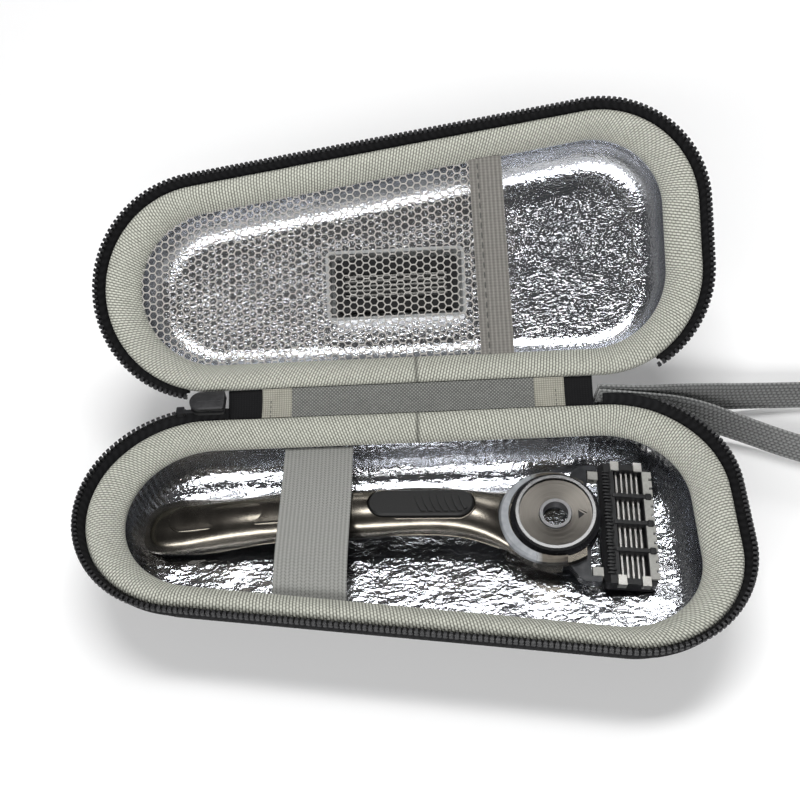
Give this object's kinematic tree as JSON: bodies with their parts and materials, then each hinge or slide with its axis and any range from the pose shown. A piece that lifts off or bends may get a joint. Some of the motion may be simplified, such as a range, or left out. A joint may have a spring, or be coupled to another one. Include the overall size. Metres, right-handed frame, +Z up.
{
  "type": "razor travel case",
  "caption": "Open zip-round travel case: foil-lined moulded half shells on a cloth hinge, holding a cartridge razor under an elastic band and spares in a net pocket.",
  "frame": {"origin": "middle of the base's flat underside, under the middle of the rim's length and width", "axes": "+X along the hinge towards the wrist strap, +Y from the base towards the hinge, +Z up from the table"},
  "size_m": [0.2675, 0.1632, 0.0806],
  "materials": {
    "foam_cloth": "matte",
    "foil": "gloss",
    "binding_cloth": "matte",
    "zip_tape": "matte",
    "zip_teeth": "satin",
    "twill": "matte",
    "tab_cloth": "matte",
    "slider_paint": "satin",
    "elastic": "matte",
    "net": "matte",
    "hem_elastic": "matte",
    "webbing": "matte",
    "clear_plastic": "gloss",
    "black_plastic": "satin",
    "dark_chrome": "polished",
    "rubber": "matte",
    "ring_plastic": "gloss",
    "brushed_disc": "satin",
    "bush_plastic": "satin",
    "collar_plastic": "satin",
    "smoke_plastic": "gloss",
    "steel": "satin",
    "comb_plastic": "satin",
    "clip_metal": "satin"
  },
  "bodies": {
    "base": {"base_shell": "foam_cloth", "base_lining": "foil", "base_rim_binding": "binding_cloth", "base_zip_tape": "zip_tape", "base_zip_teeth": "zip_teeth", "zip_end_stop": "zip_teeth", "hinge_lining_strip": "twill", "hinge_end_tab_left": "tab_cloth", "hinge_end_tab_right": "tab_cloth", "hinge_fabric": "zip_tape", "elastic_strap": "elastic", "wrist_strap": "webbing"},
    "lid": {"lid_shell": "foam_cloth", "lid_lining": "foil", "lid_rim_binding": "binding_cloth", "lid_zip_tape": "zip_tape", "lid_zip_teeth": "zip_teeth", "pocket_net": "net", "pocket_hem": "hem_elastic"},
    "slider": {"zip_slider": "slider_paint"},
    "pull_tab": {"zip_pull_tab": "slider_paint"},
    "razor": {"handle_shell": "dark_chrome", "handle_grip": "rubber", "head_collar": "collar_plastic", "head_ring": "ring_plastic", "release_disc": "brushed_disc", "disc_bush": "bush_plastic"},
    "thumb_button": {"thumb_button": "rubber"},
    "head": {"pivot_yoke": "smoke_plastic", "pivot_pin_front": "steel", "pivot_pin_back": "steel"},
    "blade_unit": {"cartridge_frame": "black_plastic", "cartridge_blades": "steel", "cartridge_comb": "comb_plastic", "cartridge_clips": "clip_metal", "cartridge_pads": "comb_plastic"},
    "spare": {"spare_tray": "clear_plastic", "spare_cartridge": "black_plastic", "spare_blades": "steel"}
  },
  "joints": [
    {"name": "lid_hinge", "type": "hinge", "parent": "base", "child": "lid", "pos_m": [0, 0.044, 0.028], "axis": [-1, 0, 0], "range_deg": [-143.3, 36.7], "deforming": ["hinge_fabric", "hinge_lining_strip", "hinge_end_tab_left", "hinge_end_tab_right"]},
    {"name": "zip_slider", "type": "slide", "parent": "base", "child": "slider", "axis": [1, 0, 0], "range_m": [-0.0013, 0.002]},
    {"name": "pull_tab", "type": "hinge", "parent": "slider", "child": "pull_tab", "pos_m": [-0.0593, 0.044, 0.0257], "axis": [0, 1, 0], "range_deg": [-45, 45]},
    {"name": "razor_lift", "type": "slide", "parent": "base", "child": "razor", "axis": [0, 0, 1], "range_m": [0, 0.07], "deforming": ["elastic_strap"]},
    {"name": "thumb_button", "type": "slide", "parent": "razor", "child": "thumb_button", "axis": [0, 0, -1], "range_m": [0, 0.001], "stiffness_N_per_m": 300, "springref_m": -0.0005},
    {"name": "head_swivel", "type": "hinge", "parent": "razor", "child": "head", "pos_m": [0.04269, 0.00701, 0.01187], "axis": [-0.003, -0.0784, 0.9969], "range_deg": [-1.5, 1.5]},
    {"name": "cartridge_pivot", "type": "hinge", "parent": "head", "child": "blade_unit", "pos_m": [0.05368, 0.00663, 0.01127], "axis": [-0.0383, -0.9962, -0.0785], "range_deg": [0, 20]},
    {"name": "spare_slide", "type": "slide", "parent": "lid", "child": "spare", "axis": [1, 0, 0], "range_m": [0, 0.048]}
  ]
}
